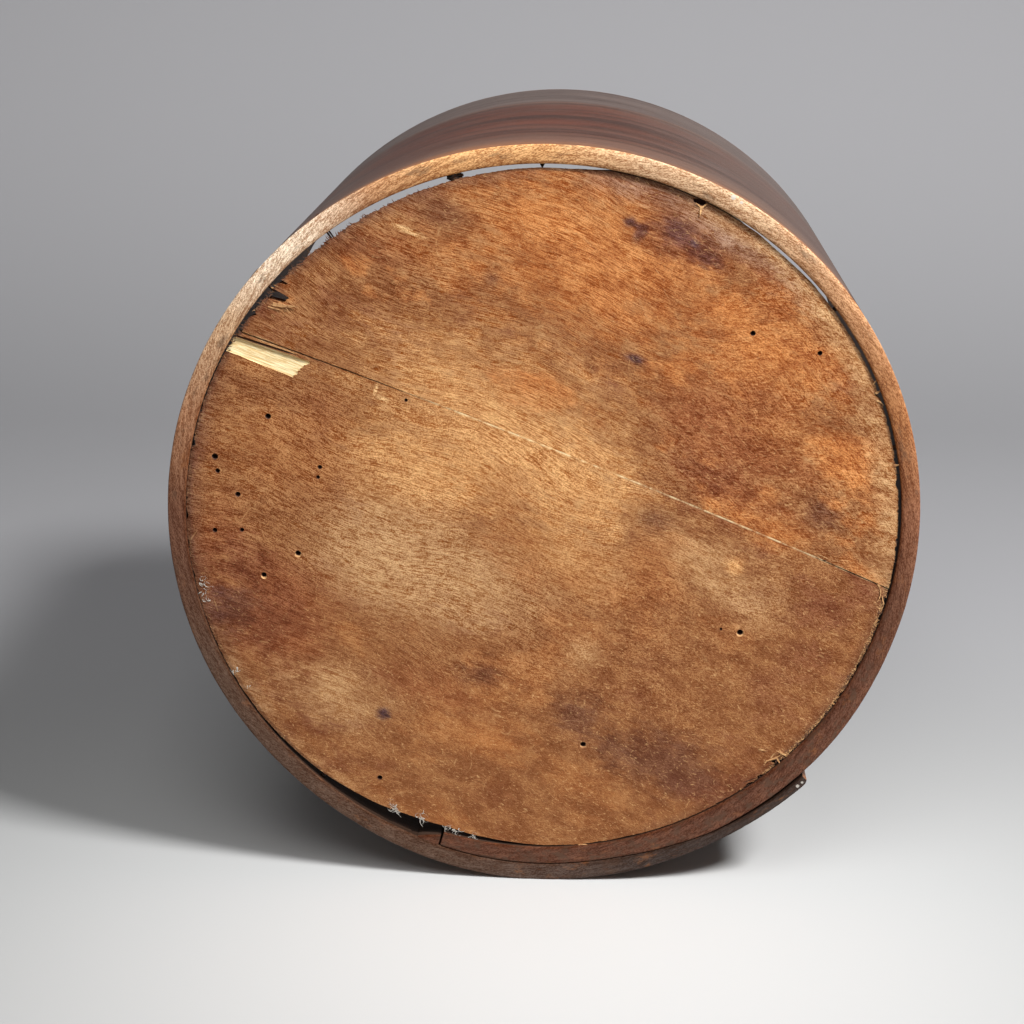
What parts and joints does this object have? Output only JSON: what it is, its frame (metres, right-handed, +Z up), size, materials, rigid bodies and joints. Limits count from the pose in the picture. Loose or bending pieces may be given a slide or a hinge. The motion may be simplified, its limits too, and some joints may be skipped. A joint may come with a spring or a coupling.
{
  "type": "grain measure",
  "caption": "Round open-mouthed bentwood measure for dry goods, lying on its side: a lapped and nailed wall board round a jointed plank base, for scooping and levelling a set volume of grain.",
  "frame": {"origin": "centre of the footprint on the floor, where the measure lies on the worn flat of its lap", "axes": "+Z up, -Y out of the base towards the viewer, +Y along the wall's axis out of the open mouth, +X to the viewer's right"},
  "size_m": [0.328, 0.25, 0.3342],
  "materials": {
    "wall_wood": "old, hand-worn bentwood, dark grey-brown outside, paler on its cut rims",
    "base_wood": "old golden-brown plank, stained, with worm holes and torn edges",
    "nail_iron": "rusted"
  },
  "bodies": {
    "root": {"side_wall": "wall_wood", "base_board_upper": "base_wood", "base_board_lower": "base_wood", "base_nails_upper": "nail_iron", "base_nails_lower": "nail_iron", "base_nails_lap": "nail_iron", "lap_nails_inner_end": "nail_iron", "lap_nails_outer_end": "nail_iron"}
  },
  "joints": []
}
